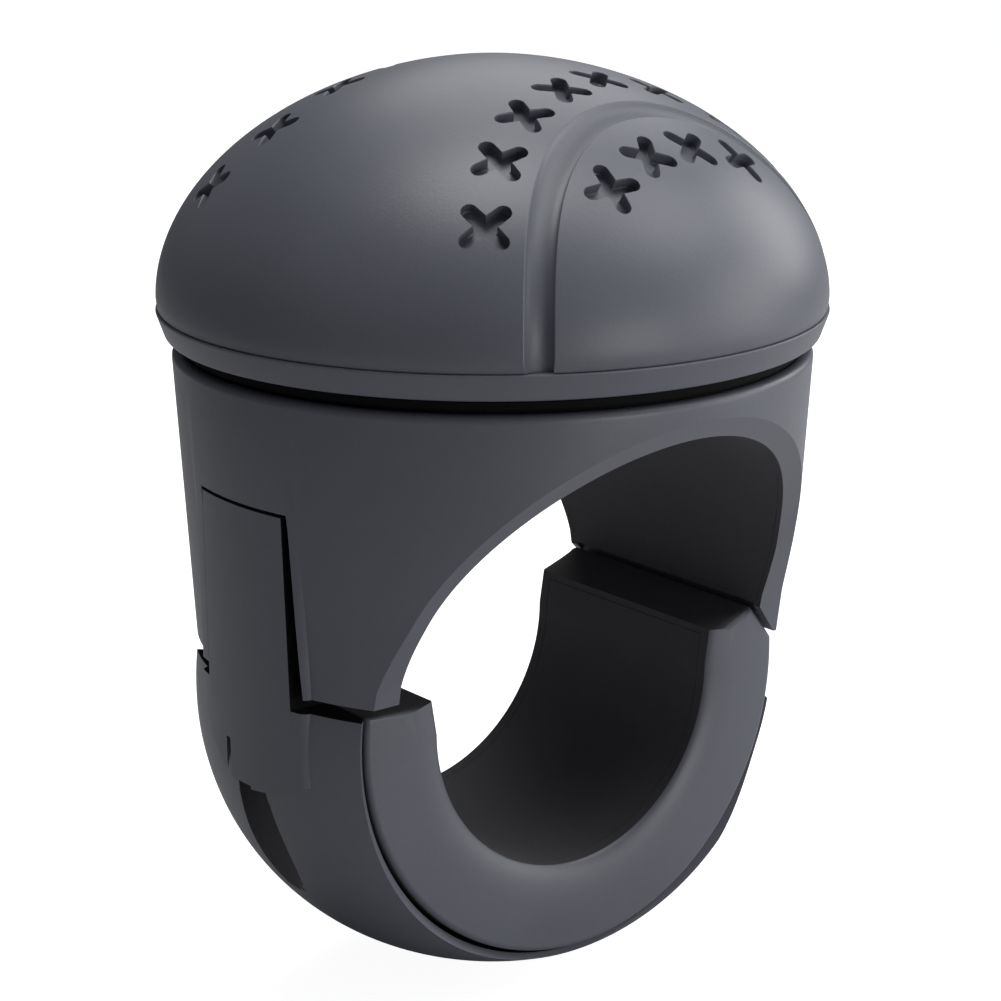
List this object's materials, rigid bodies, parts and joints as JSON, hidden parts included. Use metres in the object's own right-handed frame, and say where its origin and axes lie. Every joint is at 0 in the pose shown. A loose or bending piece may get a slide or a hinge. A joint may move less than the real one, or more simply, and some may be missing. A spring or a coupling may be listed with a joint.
{
  "type": "steering wheel spinner knob",
  "caption": "Domed grip knob on a ball bearing, over a tapered clamp with a hinged lower jaw that closes round a wheel rim.",
  "frame": {"origin": "centre of the lower jaw's bore, on the knob's spin axis, where the wheel rim lies", "axes": "+Z along the spin axis up through the knob, +Y along the rim, +X toward the jaw's hinge"},
  "size_m": [0.058, 0.058, 0.081],
  "materials": {
    "slate_plastic": "satin moulded slate grey",
    "dark_rubber": "matt",
    "black_plastic": "matt",
    "steel": "bright",
    "zinc_steel": "zinc plated"
  },
  "bodies": {
    "clamp": {"clamp_body": "slate_plastic", "saddle_pad": "dark_rubber", "glide_ring": "black_plastic", "spindle_bolt": "zinc_steel", "spacer_sleeve": "zinc_steel", "bearing_inner_ring": "steel", "washer": "zinc_steel", "lock_nut": "zinc_steel", "hinge_pin": "steel", "clamp_nut": "zinc_steel"},
    "knob": {"dome_cap": "slate_plastic", "knob_base": "slate_plastic", "bearing_outer_ring": "steel", "retaining_ring": "zinc_steel", "knob_screw_1": "steel", "knob_screw_2": "steel", "knob_screw_3": "steel"},
    "cage": {"bearing_cage": "black_plastic", "ball_1": "steel", "ball_2": "steel", "ball_3": "steel", "ball_4": "steel", "ball_5": "steel", "ball_6": "steel", "ball_7": "steel"},
    "jaw": {"jaw_shoe": "slate_plastic", "jaw_strap": "slate_plastic", "jaw_pad": "dark_rubber", "shoe_screw_1": "steel", "shoe_screw_2": "steel", "screw_washer": "zinc_steel"},
    "screw": {"clamp_screw": "steel"}
  },
  "joints": [
    {"name": "knob_spin", "type": "hinge", "parent": "clamp", "child": "knob", "pos_m": [0, 0, 0.0395], "axis": [0, 0, 1], "continuous": true},
    {"name": "cage_spin", "type": "hinge", "parent": "clamp", "child": "cage", "pos_m": [0, 0, 0.0395], "axis": [0, 0, 1], "continuous": true},
    {"name": "jaw_swing", "type": "hinge", "parent": "clamp", "child": "jaw", "pos_m": [0.0202, 0, -0.0006], "axis": [0, -1, 0], "range_deg": [0, 75]},
    {"name": "screw_turn", "type": "hinge", "parent": "jaw", "child": "screw", "pos_m": [-0.0238, 0, 0], "axis": [0, 0, -1], "range_deg": [0, 720]}
  ],
  "couplings": [
    {"joint": "cage_spin", "follows": "knob_spin", "ratio": 0.6301}
  ]
}
